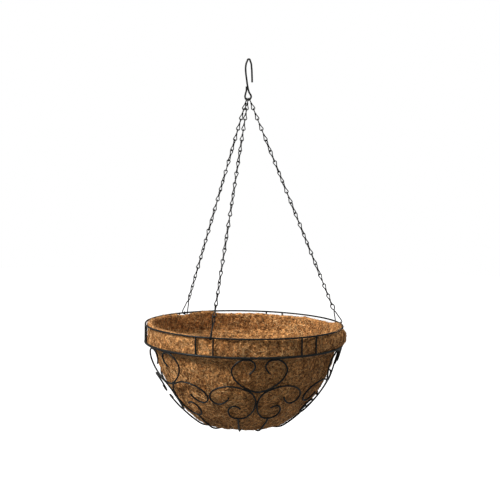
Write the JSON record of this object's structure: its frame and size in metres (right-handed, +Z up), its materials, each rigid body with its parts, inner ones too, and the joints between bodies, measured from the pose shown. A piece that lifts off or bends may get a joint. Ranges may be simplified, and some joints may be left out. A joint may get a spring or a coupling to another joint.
{
  "type": "hanging basket",
  "caption": "Black wire hanging basket with scrollwork sides and a coir liner, hung by three chains from one bent wire hook.",
  "frame": {"origin": "top of the inside of the hook's crook, where the basket hangs from", "axes": "+Z up along the basket's axis, hook flat in the XZ plane, front towards -Y"},
  "size_m": [0.3607, 0.3604, 0.6597],
  "materials": {
    "frame_wire": "black powder coat, satin, on 3 and 4 mm steel wire",
    "chain_wire": "thin black paint, satin, on 1.6 and 2 mm steel wire",
    "hook_wire": "black powder coat, satin, on 3.2 mm steel wire",
    "coir": "matted coconut fibre, latex bound, rough"
  },
  "bodies": {
    "hook": {"hook": "hook_wire"},
    "top_links": {"chain_1_top_link": "chain_wire", "chain_2_top_link": "chain_wire", "chain_3_top_link": "chain_wire"},
    "basket": {"top_ring": "frame_wire", "lower_ring": "frame_wire", "base_ring": "frame_wire", "upright_1a": "frame_wire", "upright_1b": "frame_wire", "upright_2a": "frame_wire", "upright_2b": "frame_wire", "upright_3a": "frame_wire", "upright_3b": "frame_wire", "upright_4a": "frame_wire", "upright_4b": "frame_wire", "upright_5a": "frame_wire", "upright_5b": "frame_wire", "upright_6a": "frame_wire", "upright_6b": "frame_wire", "heart_scroll_1": "frame_wire", "c_scroll_1a": "frame_wire", "c_scroll_1b": "frame_wire", "base_rib_1a": "frame_wire", "base_rib_1b": "frame_wire", "heart_scroll_2": "frame_wire", "c_scroll_2a": "frame_wire", "c_scroll_2b": "frame_wire", "base_rib_2a": "frame_wire", "base_rib_2b": "frame_wire", "heart_scroll_3": "frame_wire", "c_scroll_3a": "frame_wire", "c_scroll_3b": "frame_wire", "base_rib_3a": "frame_wire", "base_rib_3b": "frame_wire", "heart_scroll_4": "frame_wire", "c_scroll_4a": "frame_wire", "c_scroll_4b": "frame_wire", "base_rib_4a": "frame_wire", "base_rib_4b": "frame_wire", "heart_scroll_5": "frame_wire", "c_scroll_5a": "frame_wire", "c_scroll_5b": "frame_wire", "base_rib_5a": "frame_wire", "base_rib_5b": "frame_wire", "coir_liner": "coir"},
    "clip_1": {"chain_1_rim_clip": "chain_wire"},
    "lower_chain_1": {"chain_1_lower_links": "chain_wire"},
    "upper_chain_1": {"chain_1_upper_links": "chain_wire"},
    "clip_2": {"chain_2_rim_clip": "chain_wire"},
    "lower_chain_2": {"chain_2_lower_links": "chain_wire"},
    "upper_chain_2": {"chain_2_upper_links": "chain_wire"},
    "clip_3": {"chain_3_rim_clip": "chain_wire"},
    "lower_chain_3": {"chain_3_lower_links": "chain_wire"},
    "upper_chain_3": {"chain_3_upper_links": "chain_wire"}
  },
  "joints": [
    {"name": "eye_slide", "type": "hinge", "parent": "hook", "child": "top_links", "pos_m": [0, 0, -0.0654], "axis": [0, 1, 0], "range_deg": [-10, 10]},
    {"name": "fore_aft_swing", "type": "hinge", "parent": "top_links", "child": "basket", "pos_m": [0, -0.00068, -0.08675], "axis": [1, 0, 0], "range_deg": [-5, 5]},
    {"name": "clip_1_pivot", "type": "hinge", "parent": "basket", "child": "clip_1", "pos_m": [-0.05507, -0.16948, -0.4735], "axis": [0.9511, -0.309, 0], "range_deg": [0, 100]},
    {"name": "chain_1_foot_pivot", "type": "hinge", "parent": "clip_1", "child": "lower_chain_1", "pos_m": [-0.05056, -0.15562, -0.44055], "axis": [0.9511, -0.309, 0], "range_deg": [0, 60]},
    {"name": "chain_1_middle_pivot", "type": "hinge", "parent": "lower_chain_1", "child": "upper_chain_1", "pos_m": [-0.02773, -0.08534, -0.27348], "axis": [0.9511, -0.309, 0], "range_deg": [0, 60]},
    {"name": "clip_2_pivot", "type": "hinge", "parent": "basket", "child": "clip_2", "pos_m": [0.17431, 0.03705, -0.4735], "axis": [-0.2079, 0.9781, 0], "range_deg": [0, 100]},
    {"name": "chain_2_foot_pivot", "type": "hinge", "parent": "clip_2", "child": "lower_chain_2", "pos_m": [0.16029, 0.03402, -0.44046], "axis": [-0.2079, 0.9781, 0], "range_deg": [0, 60]},
    {"name": "chain_2_middle_pivot", "type": "hinge", "parent": "lower_chain_2", "child": "upper_chain_2", "pos_m": [0.09716, 0.02036, -0.2916], "axis": [-0.2079, 0.9781, 0], "range_deg": [0, 60]},
    {"name": "clip_3_pivot", "type": "hinge", "parent": "basket", "child": "clip_3", "pos_m": [-0.11454, 0.13651, -0.4735], "axis": [-0.766, -0.6428, 0], "range_deg": [0, 100]},
    {"name": "chain_3_foot_pivot", "type": "hinge", "parent": "clip_3", "child": "lower_chain_3", "pos_m": [-0.10539, 0.12535, -0.4405], "axis": [-0.766, -0.6428, 0], "range_deg": [0, 60]},
    {"name": "chain_3_middle_pivot", "type": "hinge", "parent": "lower_chain_3", "child": "upper_chain_3", "pos_m": [-0.06411, 0.07503, -0.29174], "axis": [-0.766, -0.6428, 0], "range_deg": [0, 60]}
  ]
}
